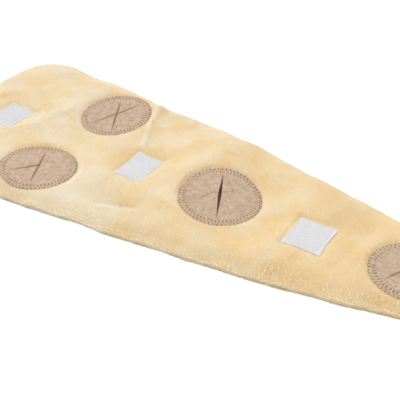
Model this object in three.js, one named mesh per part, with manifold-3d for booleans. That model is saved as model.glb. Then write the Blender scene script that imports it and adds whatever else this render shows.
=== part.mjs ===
// Plush snuffle mat: a long tapered pad of short-pile plush, lying unrolled. Four felt discs with
// crossed slits make treat pockets on its top, and three squares of hook tape keep it rolled up.
// Millimetres, +Z up. The broad end is towards -X and the tip towards +X; the floor is Z = 0.
import * as THREE from "three";
import { mergeVertices } from "three/addons/utils/BufferGeometryUtils.js";
import Module from "manifold-3d";

const wasm = await Module();
wasm.setup();

// Driving dimensions
const MAT = {
  length: 572,
  thickness: 12,
  crown: 1.5, // extra height of the fill away from the edge
  crownReach: 45, // distance from the edge over which the crown comes in
  seamHeight: 5, // height above the underside of the seam that joins the two panels
  seamWidth: 0.6,
  topRound: 15, // width of the rounded edge, above the seam and below it
  underRound: 8,
  cornerRadius: 40, // corners of the broad end
  tipRadius: 20,
  tipWidth: 2,
};
const FELT = { thickness: 1.4, sink: 0.5 };
const SLIT = { reach: 22, width: 0.9, endWidth: 0.4, crossing: 2.5 };
const HOOK_TAPE = { thickness: 1.4, sink: 0.6 };
const GAP = 0.3; // clearance between sewn-on pieces and the plush under them
const WELL_MARGIN = 0.5; // clearance round a sewn-on piece

// Outline: distance from the broad end, and the half-widths on the near (-Y) and far (+Y) side
const OUTLINE = [
  { x: 0, near: 104, far: 116 },
  { x: 60, near: 98.5, far: 110 },
  { x: 110, near: 93.2, far: 103.6 },
  { x: 148, near: 88.4, far: 97.6 },
  { x: 162, near: 86.4, far: 92.9 },
  { x: 184, near: 83.2, far: 96 },
  { x: 205, near: 80.4, far: 94.2 },
  { x: 240, near: 77.2, far: 89.6 },
  { x: 290, near: 70.1, far: 81.6 },
  { x: 340, near: 63.5, far: 73 },
  { x: 400, near: 52, far: 60.5 },
  { x: 450, near: 40.1, far: 48.3 },
  { x: 500, near: 28.2, far: 36.1 },
  { x: 552, near: 15.8, far: 23.4 },
  { x: 572, near: 11, far: 18.5 },
];
// Uneven puckers that the edge seam draws in: wave lengths along the mat, and depths
const PUCKERS = [
  { wave: 37, depth: 0.3, start: 0.4 },
  { wave: 61, depth: 0.4, start: 2.1 },
];
// Places where the pad stands off the floor: middle, reach along and across the mat, and height
const SWELLS = [
  { name: "far swell", x: 258, y: 54, along: 72, across: 66, height: 5.5 },
  { name: "far edge swell", x: 146, y: 106, along: 80, across: 60, height: 3.2 },
  { name: "near edge swell", x: 90, y: -85, along: 75, across: 60, height: 2 },
];
// Soft ridges (+) and troughs (-) left by rolling the mat up: line ends, reach either side, height
const FOLDS = [
  { name: "crease ridge", from: [163, 100], to: [198, 12], reach: 13, height: 1.9 },
  { name: "crease trough", from: [178, 100], to: [212, 40], reach: 16, height: -1.6 },
  { name: "roll ridge", from: [108, 104], to: [97, -14], reach: 22, height: 1.8 },
  { name: "roll trough", from: [76, 100], to: [70, 20], reach: 22, height: -1.2 },
  { name: "near pucker", from: [214, -66], to: [244, -38], reach: 12, height: -1.3 },
  { name: "tip trough", from: [400, 50], to: [408, -44], reach: 18, height: -1.0 },
];
const UNDERSIDE_SHARE = 0.7; // how much of a swell shows as a hollow under the mat

// Felt pockets: place on the mat, slope of the pad under each along +X and +Y in per cent, and turn of each
// slit in degrees from +X. The slits cross on the first one, SLIT.crossing away from the middle of the disc.
const POCKETS = [
  { name: "felt_pocket_near", x: 139.7, y: -47, diameter: 64, slope: [-3, -6], slits: [117, 60], gape: 0 },
  { name: "felt_pocket_far", x: 141.2, y: 53.6, diameter: 64, slope: [5.5, 6.5], slits: [118, 64], gape: 0 },
  { name: "felt_pocket_middle", x: 287.3, y: 0.3, diameter: 66, slope: [-8.5, 1], slits: [117, 60], gape: 1 },
  { name: "felt_pocket_tip", x: 444.8, y: 2.4, diameter: 61, slope: [0, 0], slits: [118, 62], gape: 0.2 },
];
const SLOPE_REACH = 2.2; // disc radii over which the slope under a pocket fades out
// The gaping pocket: one flap stands up along its first slit, which is open
const GAPE = { slitWidth: 2.4, lift: 2.6, along: 24, beside: 6, reach: 13 };
// Hook squares, cut by hand: place on the mat, sides, and turn in degrees from +X
const HOOK_SQUARES = [
  { name: "hook_tape_broad", x: 61, y: 1.5, along: 30, across: 35, turn: -1 },
  { name: "hook_tape_middle", x: 209.3, y: -1.2, along: 27.5, across: 34.5, turn: -0.3 },
  { name: "hook_tape_tip", x: 367.8, y: -2.5, along: 32, across: 35, turn: 2 },
];

// Mesh steps
const STEPS = { stationMm: 12, arc: 5, innerColumns: 10, around: 36, rings: 4, square: 5 };
const EDGE_OFFSETS = [0, 2, 6, 13]; // columns that follow the rounded edge
const CUTTER_TOP = 25;

const radians = THREE.MathUtils.degToRad;
const bump = (q) => Math.max(1 - q * q, 0) ** 2; // soft hump: 1 in the middle, 0 past q = 1

// Value of one outline column at x, on a smooth curve through the table
function outlineAt(column, x) {
  const last = OUTLINE.length - 1;
  const k = Math.min(Math.max(OUTLINE.findIndex((row) => row.x >= x) - 1, 0), last - 1);
  const slope = (i) => {
    const a = OUTLINE[Math.max(i - 1, 0)];
    const b = OUTLINE[Math.min(i + 1, last)];
    return (b[column] - a[column]) / (b.x - a.x);
  };
  const [a, b] = [OUTLINE[k], OUTLINE[k + 1]];
  const span = b.x - a.x;
  const t = (x - a.x) / span;
  return (
    a[column] * (1 + 2 * t) * (1 - t) ** 2 +
    slope(k) * span * t * (1 - t) ** 2 +
    b[column] * t * t * (3 - 2 * t) +
    slope(k + 1) * span * t * t * (t - 1)
  );
}

// Half-width of the mat at x, with its round corners, round tip and puckered seam
function halfWidth(column, x) {
  const corner = Math.max(MAT.cornerRadius - x, 0);
  const cut = MAT.cornerRadius - Math.sqrt(MAT.cornerRadius ** 2 - corner ** 2);
  const pastTip = Math.max(x - (MAT.length - MAT.tipRadius), 0) / MAT.tipRadius;
  const side = column === "near" ? 1 : -1;
  const pucker = PUCKERS.reduce(
    (sum, p) => sum + p.depth * Math.sin((2 * Math.PI * x) / p.wave + side * p.start),
    0,
  );
  const round = Math.sqrt(Math.max(1 - pastTip * pastTip, 0));
  const half = (outlineAt("near", x) + outlineAt("far", x)) / 2;
  const lean = outlineAt(column, x) - half;
  return lean + Math.max((half + pucker) * round - cut, MAT.tipWidth / 2);
}

// Stations along the mat: close together round the corners and the tip
function stations() {
  const arc = (k) => (Math.PI / 2) * (k / STEPS.arc);
  const from = MAT.cornerRadius;
  const to = MAT.length - MAT.tipRadius;
  const count = Math.round((to - from) / STEPS.stationMm);
  const list = [];
  for (let k = 0; k < STEPS.arc; k++) list.push(from * (1 - Math.cos(arc(k))));
  for (let k = 0; k < count; k++) list.push(from + ((to - from) * k) / count);
  for (let k = 0; k <= STEPS.arc; k++) list.push(to + MAT.tipRadius * Math.sin(arc(k)));
  return list;
}

const STATIONS = stations();
const COLUMNS = 2 * EDGE_OFFSETS.length + STEPS.innerColumns - 1;

// Y of a column at a station: the outer ones follow the edges, the inner ones share what is left
function columnY(x, j) {
  const near = halfWidth("near", x);
  const far = halfWidth("far", x);
  const squeeze = Math.min(1, (near + far) / (4 * EDGE_OFFSETS.at(-1)));
  const offset = (k) => EDGE_OFFSETS[k] * squeeze;
  const edge = EDGE_OFFSETS.length - 1;
  if (j <= edge) return -near + offset(j);
  if (j >= COLUMNS - edge) return far - offset(COLUMNS - j);
  const share = (j - edge) / (COLUMNS - 2 * edge);
  return THREE.MathUtils.lerp(-near + offset(edge), far - offset(edge), share);
}

// The outline as a closed loop, for the distance of a point from the edge
const RIM = [
  ...STATIONS.map((x) => new THREE.Vector2(x, -halfWidth("near", x))),
  ...STATIONS.toReversed().map((x) => new THREE.Vector2(x, halfWidth("far", x))),
];

function distanceToLine(p, a, b) {
  const along = b.clone().sub(a);
  const t = p.clone().sub(a).dot(along) / along.lengthSq();
  return p.distanceTo(a.clone().addScaledVector(along, THREE.MathUtils.clamp(t, 0, 1)));
}

function edgeDistance(x, y) {
  const p = new THREE.Vector2(x, y);
  return Math.min(...RIM.map((a, i) => distanceToLine(p, a, RIM[(i + 1) % RIM.length])));
}

// Height by which the swells lift the pad
function swellAt(x, y) {
  const lift = (s) => s.height * bump(Math.hypot((x - s.x) / s.along, (y - s.y) / s.across));
  return SWELLS.reduce((sum, s) => sum + lift(s), 0);
}

// Height that the folds add to the top
function foldAt(x, y) {
  const p = new THREE.Vector2(x, y);
  const rise = (f) =>
    f.height *
    bump(distanceToLine(p, new THREE.Vector2(...f.from), new THREE.Vector2(...f.to)) / f.reach);
  return FOLDS.reduce((sum, f) => sum + rise(f), 0);
}

// Height that the slope under each pocket adds to the top, at a distance from the edge
function slopeAt(x, y, d) {
  const rise = ({ x: middleX, y: middleY, diameter, slope }) => {
    const [dx, dy] = [x - middleX, y - middleY];
    const away = Math.hypot(dx, dy) / (diameter / 2);
    const fade = 1 - THREE.MathUtils.smoothstep(away, 1, SLOPE_REACH);
    return (fade * (slope[0] * dx + slope[1] * dy)) / 100;
  };
  return POCKETS.reduce((sum, p) => sum + rise(p), 0) * THREE.MathUtils.smoothstep(d, 0, MAT.topRound);
}

// Share of the full height that a rounded edge has at a distance from the seam
const roundedEdge = (d, width) => {
  const q = 1 - Math.min(d / width, 1);
  return Math.sqrt(1 - q * q);
};

function seamAt(x, y) {
  return MAT.seamHeight + UNDERSIDE_SHARE * swellAt(x, y);
}

// Top of the plush at a point, as far as the pile reaches
function topAt(x, y) {
  const d = edgeDistance(x, y);
  const crown = MAT.crown * Math.min(d / MAT.crownReach, 1) ** 0.5;
  const full = MAT.thickness + crown + swellAt(x, y) + foldAt(x, y) + slopeAt(x, y, d);
  const seam = seamAt(x, y) + MAT.seamWidth / 2;
  return seam + (full - seam) * roundedEdge(d, MAT.topRound);
}

function undersideAt(x, y) {
  const full = UNDERSIDE_SHARE * swellAt(x, y);
  const seam = seamAt(x, y) - MAT.seamWidth / 2;
  return seam + (full - seam) * roundedEdge(edgeDistance(x, y), MAT.underRound);
}

// Moves every vertex of a geometry; change edits the vertex in place
function reshape(geometry, change) {
  const position = geometry.getAttribute("position");
  const v = new THREE.Vector3();
  for (let i = 0; i < position.count; i++) {
    change(v.fromBufferAttribute(position, i));
    position.setXYZ(i, v.x, v.y, v.z);
  }
  return geometry;
}

function toSolid(geometry) {
  const bare = new THREE.BufferGeometry();
  bare.setAttribute("position", geometry.getAttribute("position"));
  bare.setIndex(geometry.index);
  const merged = mergeVertices(bare, 1e-3);
  return new wasm.Manifold(
    new wasm.Mesh({
      numProp: 3,
      vertProperties: merged.getAttribute("position").array,
      triVerts: new Uint32Array(merged.index.array),
    }),
  );
}

function toGeometry(solid) {
  const mesh = solid.getMesh();
  const geometry = new THREE.BufferGeometry();
  geometry.setAttribute("position", new THREE.BufferAttribute(mesh.vertProperties, 3));
  geometry.setIndex(new THREE.BufferAttribute(mesh.triVerts, 1));
  geometry.computeVertexNormals();
  return geometry;
}

// The padded plush before the wells are pressed into it
function plushPad() {
  const [rows, columns] = [STATIONS.length - 1, COLUMNS];
  const box = new THREE.BoxGeometry(1, 1, 1, rows, columns, 1);
  return reshape(box, (v) => {
    const onTop = v.z > 0;
    v.x = STATIONS[Math.round((v.x + 0.5) * rows)];
    v.y = columnY(v.x, Math.round((v.y + 0.5) * columns));
    v.z = onTop ? topAt(v.x, v.y) : undersideAt(v.x, v.y);
  });
}

// A round slab that follows the plush, from one height above its top to another
function roundSlab({ x, y }, radius, low, high, lift = () => 0) {
  const radii = Array.from({ length: STEPS.rings + 1 }, (_, k) => (radius * k) / STEPS.rings);
  const profile = [
    ...radii.map((r) => new THREE.Vector2(r, 0)),
    ...radii.toReversed().map((r) => new THREE.Vector2(r, 1)),
  ];
  const lathe = new THREE.LatheGeometry(profile, STEPS.around).rotateX(Math.PI / 2);
  return reshape(lathe, (v) => {
    const offset = (v.z > 0.5 ? high : low) + lift(v.x, v.y);
    v.set(x + v.x, y + v.y, offset + topAt(x + v.x, y + v.y));
  });
}

// A square slab that follows the plush in the same way
function squareSlab({ x, y, along, across, turn }, margin, low, high) {
  const sides = [along + 2 * margin, across + 2 * margin];
  const box = new THREE.BoxGeometry(...sides, 1, STEPS.square, STEPS.square, 1);
  box.rotateZ(radians(turn));
  return reshape(box, (v) => {
    const offset = v.z > 0 ? high : low;
    v.set(x + v.x, y + v.y, offset + topAt(x + v.x, y + v.y));
  });
}

// How far a flap stands up beside the open slit of a gaping pocket
function flapLift({ slits, gape }) {
  const turn = radians(slits[0]);
  return (dx, dy) => {
    const along = dx * Math.cos(turn) + dy * Math.sin(turn);
    const beside = dy * Math.cos(turn) - dx * Math.sin(turn);
    return gape * GAPE.lift * bump(along / GAPE.along) * bump((beside - GAPE.beside) / GAPE.reach);
  };
}

// A slit through the felt: widest in the middle, narrow at both ends
function slitCutter({ x, y }, turn, width) {
  const outline = new THREE.Shape([
    new THREE.Vector2(-SLIT.reach, -SLIT.endWidth / 2),
    new THREE.Vector2(0, -width / 2),
    new THREE.Vector2(SLIT.reach, -SLIT.endWidth / 2),
    new THREE.Vector2(SLIT.reach, SLIT.endWidth / 2),
    new THREE.Vector2(0, width / 2),
    new THREE.Vector2(-SLIT.reach, SLIT.endWidth / 2),
  ]);
  const prism = new THREE.ExtrudeGeometry(outline, { depth: CUTTER_TOP, bevelEnabled: false });
  return prism.rotateZ(radians(turn)).translate(x, y, 0);
}

function feltPocket(pocket) {
  const high = -FELT.sink;
  const low = high - FELT.thickness;
  const disc = roundSlab(pocket, pocket.diameter / 2, low, high, flapLift(pocket));
  const widths = [Math.max(SLIT.width, pocket.gape * GAPE.slitWidth), SLIT.width];
  const first = radians(pocket.slits[0]);
  const crossing = {
    x: pocket.x + SLIT.crossing * Math.cos(first),
    y: pocket.y + SLIT.crossing * Math.sin(first),
  };
  const middles = [pocket, crossing];
  const cut = pocket.slits.reduce(
    (solid, turn, k) => solid.subtract(toSolid(slitCutter(middles[k], turn, widths[k]))),
    toSolid(disc),
  );
  return toGeometry(cut);
}

function hookSquare(square) {
  const high = -HOOK_TAPE.sink;
  const low = high - HOOK_TAPE.thickness;
  return squareSlab(square, 0, low, high);
}

// The pad with a shallow well for each piece that is sewn down into the pile
function plushMat() {
  const feltFloor = -FELT.sink - FELT.thickness - GAP;
  const tapeFloor = -HOOK_TAPE.sink - HOOK_TAPE.thickness - GAP;
  const wells = [
    ...POCKETS.map((p) => roundSlab(p, p.diameter / 2 + WELL_MARGIN, feltFloor, CUTTER_TOP)),
    ...HOOK_SQUARES.map((s) => squareSlab(s, WELL_MARGIN, tapeFloor, CUTTER_TOP)),
  ];
  const pressed = wells.reduce((solid, w) => solid.subtract(toSolid(w)), toSolid(plushPad()));
  return toGeometry(pressed);
}

// Materials
const PLUSH = new THREE.MeshStandardMaterial({ color: 0xecd7b0, roughness: 0.95, metalness: 0 });
const FELT_BEIGE = new THREE.MeshStandardMaterial({ color: 0xceb298, roughness: 0.97, metalness: 0 });
const HOOK_WHITE = new THREE.MeshStandardMaterial({ color: 0xe4e4e4, roughness: 0.7, metalness: 0 });

function piece(name, geometry, material) {
  const mesh = new THREE.Mesh(geometry, material);
  mesh.name = name;
  return mesh;
}

// Assembly: the origin is under the middle of the mat, on the floor
const mat = piece("plush_mat", plushMat(), PLUSH);
const snuffleMat = new THREE.Group();
snuffleMat.add(mat);
POCKETS.forEach((p) => snuffleMat.add(piece(p.name, feltPocket(p), FELT_BEIGE)));
HOOK_SQUARES.forEach((s) => snuffleMat.add(piece(s.name, hookSquare(s), HOOK_WHITE)));
const middle = new THREE.Box3().setFromObject(mat).getCenter(new THREE.Vector3());
snuffleMat.position.set(-middle.x, -middle.y, 0);

export default snuffleMat;
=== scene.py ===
# Plush snuffle mat, lying unrolled: a thin tapered pad of short-pile plush with slit felt pockets and
# squares of hook tape. Metres, +Z up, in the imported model's own frame.
import math

import bmesh
import bpy
import numpy as np
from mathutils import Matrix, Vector
from mathutils.bvhtree import BVHTree


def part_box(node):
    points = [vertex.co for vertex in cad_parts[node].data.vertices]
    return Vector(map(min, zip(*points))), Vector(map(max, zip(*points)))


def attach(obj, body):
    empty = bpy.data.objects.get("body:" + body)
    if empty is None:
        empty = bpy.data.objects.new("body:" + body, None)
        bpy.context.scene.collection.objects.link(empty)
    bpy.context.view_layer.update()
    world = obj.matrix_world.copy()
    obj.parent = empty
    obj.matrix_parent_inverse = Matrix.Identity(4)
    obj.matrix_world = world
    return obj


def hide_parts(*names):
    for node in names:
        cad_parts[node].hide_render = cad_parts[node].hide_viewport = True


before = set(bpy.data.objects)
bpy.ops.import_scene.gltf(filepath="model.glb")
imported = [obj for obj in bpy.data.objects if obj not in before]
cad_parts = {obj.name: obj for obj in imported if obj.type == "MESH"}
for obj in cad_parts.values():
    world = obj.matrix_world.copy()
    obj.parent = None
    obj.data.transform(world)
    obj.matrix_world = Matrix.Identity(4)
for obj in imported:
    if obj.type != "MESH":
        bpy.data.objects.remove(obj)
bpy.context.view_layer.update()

MM = 0.001
BODY = "root"

# Camera, placed from the middle of the broad end's hook square
ANCHOR_NODE = "hook_tape_broad"
CAMERA_FROM_ANCHOR = (0.4988, -0.4334)
CAMERA_HEIGHT = 0.3849
CAMERA_TURN = math.radians(33.97)
CAMERA_PITCH = math.radians(36.27)
CAMERA_LENS = 72.8
CAMERA_SENSOR = 36.0
CAMERA_CLIP = (0.01, 50.0)

# Plush pad. A facing is the upward part of a surface's normal: 1 on the level top, -1 on the underside.
# A pair of them says where a change begins and where it is complete.
PILE_HEIGHT = 1.2 * MM  # the body is smaller than the solid by this much, and the pile makes it up
UNDERSIDE_PILE = 0.5 * MM  # and by this much on the underside
UNDERSIDE_FACING = (-0.3, -0.9)
EDGE_PILE = 0.25 * MM  # how far the body's edge stays inside the solid's
EDGE_FACING = (0.98, 0.45)
MERGE_DISTANCE = 0.01 * MM
REMESH_VOXEL = 4 * MM
SMOOTH_ROUNDS = 6
SMOOTH_FACTOR = 0.5
CLOTH_FRAMES = 20
CLOTH_PRESSURE = 4.0
SWELL_CAP = 1.0 * MM  # the furthest that the filling moves a point
WELL_RAMP = 3.5 * MM  # width over which the plush dips to a sewn-on piece
WELL_CLEAR = 0.25 * MM
WELL_FACING = 0.2  # the wells are pressed in where the plush faces up more than this
POCKET_HOLLOW = 2.0 * MM  # depth of the hollow under a gaping pocket
HOLLOW_RIM = 0.6  # how far inside the disc's rim the hollow is full, as a share of the disc's radius
HOLLOW_START = 0.3  # where it begins, as a share of that
POCKET_SHADE = (6 * MM, 9 * MM)  # how far inside the rim the plush in the hollow is painted brown as shade: where it begins, and where it is full
# Creases left by rolling the mat up: ends, reach either side and height, in millimetres
CREASES = [
    {"start": (-119, 82), "end": (-108, 52), "reach": 3.4, "height": 1.9},
    {"start": (-108, 52), "end": (-91, 16), "reach": 3.4, "height": 1.8},
    {"start": (-114, 92), "end": (-99, 54), "reach": 6.0, "height": -1.3},
    {"start": (-72, -63), "end": (-44, -53), "reach": 4.0, "height": -1.1},
    {"start": (-70, -68), "end": (-42, -59), "reach": 4.0, "height": 0.7},
    {"start": (-180, 80), "end": (-195, -12), "reach": 9.0, "height": 1.2},
    {"start": (120, 34), "end": (112, -34), "reach": 7.0, "height": -0.7},
]
CREASE_FACING = (0.0, 0.5)
CREST_HIGHLIGHT_HEIGHT = 2.4  # rise at which the crest of a crease gets its full painted highlight, in millimetres

# Pile
TUFT_DENSITY = 2.5e6  # tufts on a square metre of the top
TUFT_LENGTH = 1.9 * MM
TUFT_RADIUS = 0.34 * MM
TUFT_SIDES = 3
TUFT_STRAY = (0.22, 0.22, 0.1)  # how far a tuft leans its own way
TUFT_UNEVEN = (0.8, 1.12)  # shortest and longest tuft, as shares of the usual length
TUFT_SEED = 7
# Where the pile is cut into pieces: shares of the length, further apart towards the narrow tip
BAND_ENDS = (-0.05, 0.13, 0.28, 0.44, 0.63, 1.05)
PILE_STOP = 0.4 * MM  # how far under a sewn-on piece the pile still grows
UNDERSIDE_NAP_FACING = (-0.6, -0.95)
UNDERSIDE_DENSITY = 0.06  # share of the top's
UNDERSIDE_LENGTH = 0.45  # share of the top's
UNDERSIDE_LEAN = 1.6  # added to the sideways part of a tuft's direction there
EDGE_LENGTH = 0.45  # share of the top's
SHORT_FACING = (0.92, 0.45)
EDGE_DROOP = 1.3  # how far the tufts on the rounded edge hang down
DROOP_FACING = (0.97, 0.15)
DROOP_HEIGHT = (0.5 * MM, 3 * MM)  # heights over the floor where they begin to, and where they do it fully
NAP_LEAN = 0.95  # sideways part of a tuft's direction
NAP_TURN = math.radians(115)  # way that the nap is brushed, from +X
# Where the pile is made quite pale: middle and reach
PALE_PATCH = {"middle": (-0.1, -0.068, 0.012), "reach": 0.06}
WARM_ALONG = (-0.22, 0.42)  # where along the mat it begins to get warmer, and where it would be quite warm

# Felt pockets: node, turns of the two slits in degrees, reach of the first slit in millimetres, how far it
# gapes, and how clearly the left and the right arm of the second slit show
POCKETS = [
    {"node": "felt_pocket_near", "slits": (117, 60), "reach": 22, "gape": 0.0, "arms": (1.5, 0.1)},
    {"node": "felt_pocket_far", "slits": (118, 64), "reach": 22, "gape": 0.15, "arms": (1.0, 1.0)},
    {"node": "felt_pocket_middle", "slits": (117, 60), "reach": 25, "gape": 1.0, "arms": (0.25, 0.25)},
    {"node": "felt_pocket_tip", "slits": (118, 62), "reach": 22, "gape": 0.2, "arms": (1.0, 1.0)},
]
FELT_THICKNESS = 1.0 * MM
FELT_RINGS = 26
FELT_AROUND = 128
SLIT_REACH = 22 * MM
SLIT_WIDTH = 0.4 * MM
SLIT_END = 0.2 * MM  # width at the end of a slit
SLIT_SHUT = 0.12 * MM  # width of an arm that is pressed shut
SLIT_CROSSING = 2.5 * MM  # the second slit crosses the first this far from the middle
CUTTER_HEIGHTS = (-0.01, 0.05)  # foot and top of what cuts a slit
GROOVE_DEPTH = 0.7 * MM  # how far the felt dips along a closed slit
GROOVE_REACH = 1.3 * MM
GROOVE_END = 0.4  # share of its depth that a groove keeps at its end
GROOVE_TAPER = (1.0, 0.5)  # shares of the slit's reach where it has that depth, and where it has all of it
GROOVE_ROOM = (2 * MM, 7 * MM)  # how far inside the rim the plush makes room for the grooves
GAPE_WIDTH = 2.7 * MM  # width of a slit that gapes fully
# Flap beside a gaping slit: how high it lifts, its half length, and the place of its crest and its reach
# beside the slit
FLAP = {"lift": 2.6 * MM, "along": 24 * MM, "beside": 6 * MM, "reach": 13 * MM}

# Zigzag sewing round each disc
STITCH_PITCH = 2.8 * MM  # along the inner needle row
STITCH_OUTER = 0.1 * MM  # distance of the outer needle row inside the rim
STITCH_INNER = 5.3 * MM
STITCH_STRAY = {"along": 0.08, "across": 0.25 * MM}  # of a needle hole; along the rim a share of the pitch
STITCH_SEED = 18
RIM_SEWN_DOWN = 0.5 * MM
RIM_SLOPE_END = STITCH_INNER + 2 * MM
RIM_INSET = 0.1 * MM  # a needle hole nearer to the rim takes the felt's height this far inside it
ABOVE_FELT = 0.1  # height from which the felt is looked for
THREAD_RADIUS = 0.4 * MM
THREAD_ARCH = 0.3 * MM  # how far the thread stands up between two needle holes
THREAD_SIDES = 6
# Painted shadows in the hollows that the needle pulls in between the stitches, as dark bars: bigger on the
# side of the band that the nap is brushed towards, which faces away from the front lamp
DENT_SHADOWS = {
    "shadow_side": {"length": 2.0 * MM, "radius": 0.4 * MM, "sink": 0.15 * MM},
    "lit_side": {"length": 1.4 * MM, "radius": 0.24 * MM, "sink": 0.1 * MM},
}
SHADOW_SIDE_FACING = -0.1  # a painted shadow is the bigger kind where its way out of the band has more than this of the nap's way

# Hook tape
HOOK_SQUARES = [
    {"node": "hook_tape_broad", "along": 30 * MM, "across": 35 * MM, "turn": -1},
    {"node": "hook_tape_middle", "along": 27.5 * MM, "across": 34.5 * MM, "turn": -0.3},
    {"node": "hook_tape_tip", "along": 32 * MM, "across": 35 * MM, "turn": 2},
]
TAPE_THICKNESS = 0.9 * MM
TAPE_BORDER = 2.2 * MM
TAPE_BORDER_START = 0.86  # where the sheet begins to dip to its border, as a share of its half size
TAPE_BORDER_DROP = 0.35 * MM
TAPE_STEPS = 30
TAPE_DRAW_IN = 1.1 * MM  # how far the sides pull in between the corners
HOOK_PITCH = 1.15 * MM
HOOK_RADIUS = 0.2 * MM
HOOK_LENGTH = 0.75 * MM
HOOK_MARGIN = 2.2 * MM  # bare selvedge round the hooks
HOOK_RISE = 0.02 * MM  # height of a hook's foot over the smooth tape
HOOK_SIDES = 4
HOOK_TAPER = 0.6  # width of a hook's top, as a share of its foot's
HOOK_SPREAD = 0.35  # how far a hook leans its own way, in radians
HOOK_SEED = 7

# Uneven fields: length and height of their waves, and their seed. The nap's turn is in radians.
NAP_TURN_WAVES = [
    {"length": 60 * MM, "height": 0.5, "seed": 7},
    {"length": 21 * MM, "height": 0.25, "seed": 8},
]
NAP_LEAN_WAVES = {"length": 34 * MM, "height": 0.2, "seed": 9}
FELT_WAVES = {"length": 9 * MM, "height": 0.12 * MM, "seed": 12}
TAPE_WAVES = {"length": 8 * MM, "height": 0.1 * MM, "seed": 15}
WAVE_COUNT = 6
WAVE_SPREAD = (0.7, 1.5)  # shortest and longest wave, as shares of the length
WAVE_SUM = 2.6  # the waves' sum is divided by this, so that it stays mostly between -1 and 1

# Surfaces fitted to a node's upper faces
TOP_FACING = 0.4
FIT_REACH = 30  # millimetres from the node's middle at which the fit's terms are 1

# Studio: a white floor and wall, the sky's strength below and above the horizon, and the round lamps
FLOOR_HALF = 6.0
FLOOR_DROP = 0.0002
FLOOR_GLOW = 0.7
WALL_RADIUS = 5.0
WALL_HEIGHT = 5.0
WALL_STEPS = 96
WALL_GLOW = 1.0
SKY_LOW = 0.2
SKY_HIGH = 0.6
SKY_RISE = (-0.1, 0.3)  # upward part of a direction where the sky begins to brighten, and is brightest
LAMPS = [
    {"name": "key", "place": (-0.5, 0.6, 1.5), "size": 1.2, "watts": 5.0},
    {"name": "front", "place": (-0.1, -1.1, 1.3), "size": 1.4, "watts": 13.4},
    {"name": "back", "place": (0.1, 1.6, 0.5), "size": 1.0, "watts": 9.0},
]


def srgb(red, green, blue):
    """A colour given as 0 to 255 values, in linear light."""
    def linear(value):
        value /= 255
        return value / 12.92 if value <= 0.04045 else ((value + 0.055) / 1.055) ** 2.4
    return (linear(red), linear(green), linear(blue), 1.0)


PLUSH_CREAM = srgb(253, 238, 208)
PLUSH_PALE = srgb(254, 246, 228)
PLUSH_WARM = srgb(253, 230, 180)
PLUSH_SHEEN = (1.0, 0.95, 0.85, 1.0)
GRAIN_SHADE = (0.92, 0.9, 0.87, 1.0)
# painted shade: the brown of felt in shadow, for the hollow under the gaping pocket
POCKET_SHADE_BROWN = srgb(165, 120, 90)
FELT_BEIGE = srgb(186, 158, 132)
FELT_LIGHT = srgb(207, 184, 161)
FELT_DARK = srgb(155, 125, 100)
# painted shade along the grooves of the closed slits
SLIT_SHADE_BROWN = srgb(160, 122, 92)
THREAD_BEIGE = srgb(234, 209, 182)
# painted shadow in the needle's hollows between the stitches
DENT_SHADOW_BROWN = srgb(120, 84, 58)
TAPE_WHITE = srgb(231, 231, 232)
TAPE_GREY = srgb(218, 218, 220)
FLOOR_WHITE = srgb(252, 252, 252)
FLOOR_SHADE = srgb(250, 250, 250)
WHITE = (1.0, 1.0, 1.0, 1.0)


# Fields

def smooth_step(low, high, value):
    """0 up to low and 1 from high on, with a soft slope between. Low may be the larger one."""
    t = np.clip((value - low) / (high - low), 0, 1)
    return t * t * (3 - 2 * t)


def hump(q):
    """A soft hump: 1 in the middle, 0 past q = 1."""
    return np.maximum(1 - q * q, 0) ** 2


def segment_distance(x, y, start, end):
    """Distance of points from a straight line between two places."""
    step = (end[0] - start[0], end[1] - start[1])
    along = ((x - start[0]) * step[0] + (y - start[1]) * step[1]) / (step[0] ** 2 + step[1] ** 2)
    along = np.clip(along, 0, 1)
    return np.hypot(x - start[0] - along * step[0], y - start[1] - along * step[1])


def along_and_across(x, y, middle, turn):
    """Distances of points from a middle, along and across a direction given in degrees from +X."""
    angle = math.radians(turn)
    along = (x - middle.x) * math.cos(angle) + (y - middle.y) * math.sin(angle)
    across = (y - middle.y) * math.cos(angle) - (x - middle.x) * math.sin(angle)
    return along, across


def turned_place(along, across, middle, turn):
    """The points at such distances: x and y."""
    angle = math.radians(turn)
    x = middle.x + along * math.cos(angle) - across * math.sin(angle)
    y = middle.y + along * math.sin(angle) + across * math.cos(angle)
    return x, y


def uneven(x, y, kind):
    """A smooth uneven field from a few waves in all directions."""
    rng = np.random.default_rng(kind["seed"])
    total = np.zeros_like(x)
    for _ in range(WAVE_COUNT):
        turn = rng.uniform(0, 2 * math.pi)
        number = 2 * math.pi / (kind["length"] * rng.uniform(*WAVE_SPREAD))
        start = rng.uniform(0, 2 * math.pi)
        total += np.sin(number * (x * math.cos(turn) + y * math.sin(turn)) + start)
    return kind["height"] * (total / WAVE_SUM)


# Meshes

def points_of(mesh):
    flat = np.empty(len(mesh.vertices) * 3)
    mesh.vertices.foreach_get("co", flat)
    return flat.reshape(-1, 3)


def normals_of(mesh):
    flat = np.empty(len(mesh.vertices) * 3)
    mesh.vertex_normals.foreach_get("vector", flat)
    return flat.reshape(-1, 3)


def set_points(mesh, points):
    mesh.vertices.foreach_set("co", points.astype(np.float32).ravel())
    mesh.update()


def add_object(name, mesh):
    piece = bpy.data.objects.new(name, mesh)
    bpy.context.scene.collection.objects.link(piece)
    return piece


def mesh_from(name, points, faces=(), edges=()):
    mesh = bpy.data.meshes.new(name)
    mesh.from_pydata([tuple(p) for p in points], list(edges), list(faces))
    mesh.update()
    return mesh


def sheet_mesh(name, upper, lower, faces, border):
    """A sheet with its thickness: the upper faces, the same ones below, and a wall along the border."""
    count = len(upper)
    under = [tuple(count + i for i in reversed(face)) for face in faces]
    wall = [(a, count + a, count + b, b) for a, b in zip(border, border[1:] + border[:1])]
    return mesh_from(name, np.concatenate([upper, lower]), faces + under + wall)


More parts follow.
